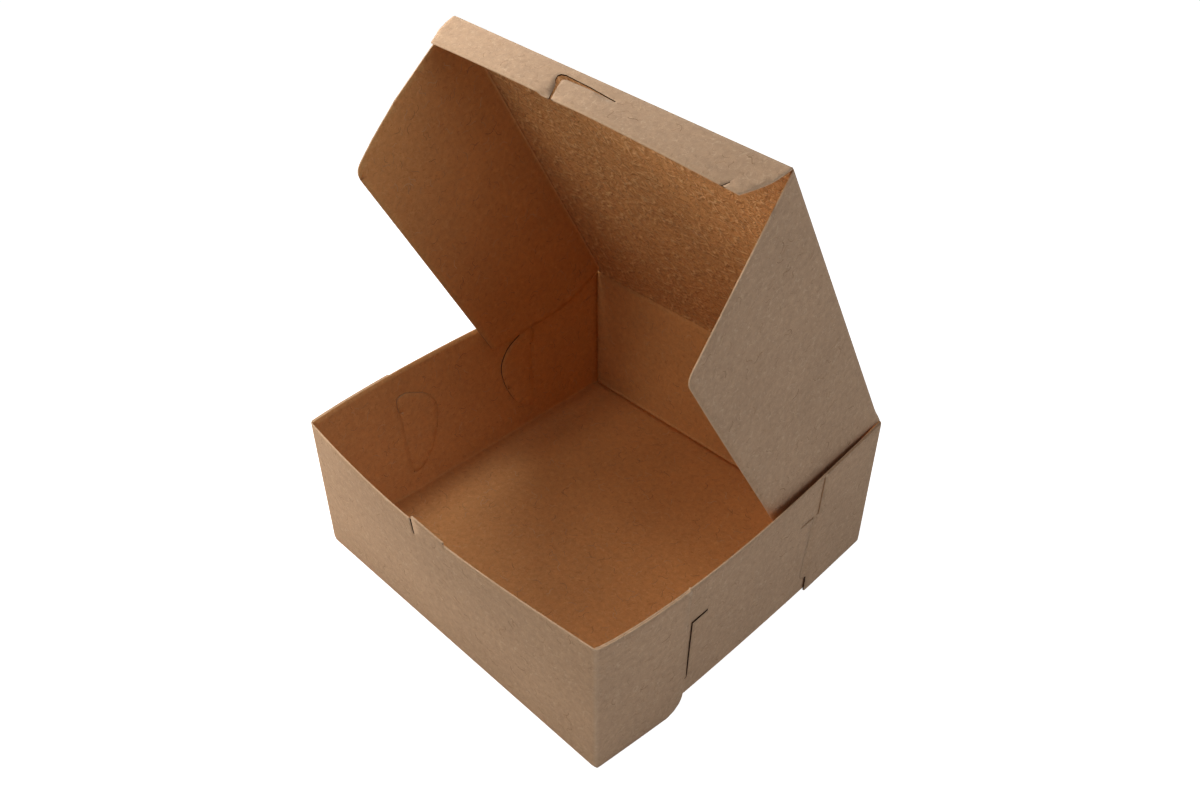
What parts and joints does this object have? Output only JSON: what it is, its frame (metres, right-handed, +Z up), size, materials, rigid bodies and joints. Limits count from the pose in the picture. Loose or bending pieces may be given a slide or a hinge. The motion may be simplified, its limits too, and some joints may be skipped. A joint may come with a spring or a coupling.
{
  "type": "takeaway box",
  "caption": "Square kraft card takeaway box: a tray with hooked corner tabs and bowed walls, its hinged lid with tucking side flaps and a slotted front flap.",
  "frame": {"origin": "middle of the tray's flat underside", "axes": "+Z up; -Y towards the front wall with the tongue; +X to the right of someone who faces the front"},
  "size_m": [0.1606, 0.1576, 0.1944],
  "materials": {
    "kraft_card": "matt, uncoated, fine brown fibres"
  },
  "bodies": {
    "tray": {"tray": "kraft_card"},
    "lid": {"lid": "kraft_card"},
    "left_flap": {"left_flap": "kraft_card"},
    "right_flap": {"right_flap": "kraft_card"},
    "front_flap": {"front_flap": "kraft_card"}
  },
  "joints": [
    {"name": "lid_hinge", "type": "hinge", "parent": "tray", "child": "lid", "pos_m": [0, 0.076, 0.0623], "axis": [-1, 0, 0], "range_deg": [-61.2, 118.8]},
    {"name": "left_flap_fold", "type": "hinge", "parent": "lid", "child": "left_flap", "pos_m": [-0.07365, 0.07574, 0.06216], "axis": [0, -0.4818, 0.8763], "range_deg": [0, 88]},
    {"name": "right_flap_fold", "type": "hinge", "parent": "lid", "child": "right_flap", "pos_m": [0.07365, 0.07574, 0.06216], "axis": [0, 0.4818, -0.8763], "range_deg": [0, 88]},
    {"name": "front_flap_fold", "type": "hinge", "parent": "lid", "child": "front_flap", "pos_m": [0, 0.00345, 0.19365], "axis": [1, 0, 0], "range_deg": [0, 18]}
  ]
}
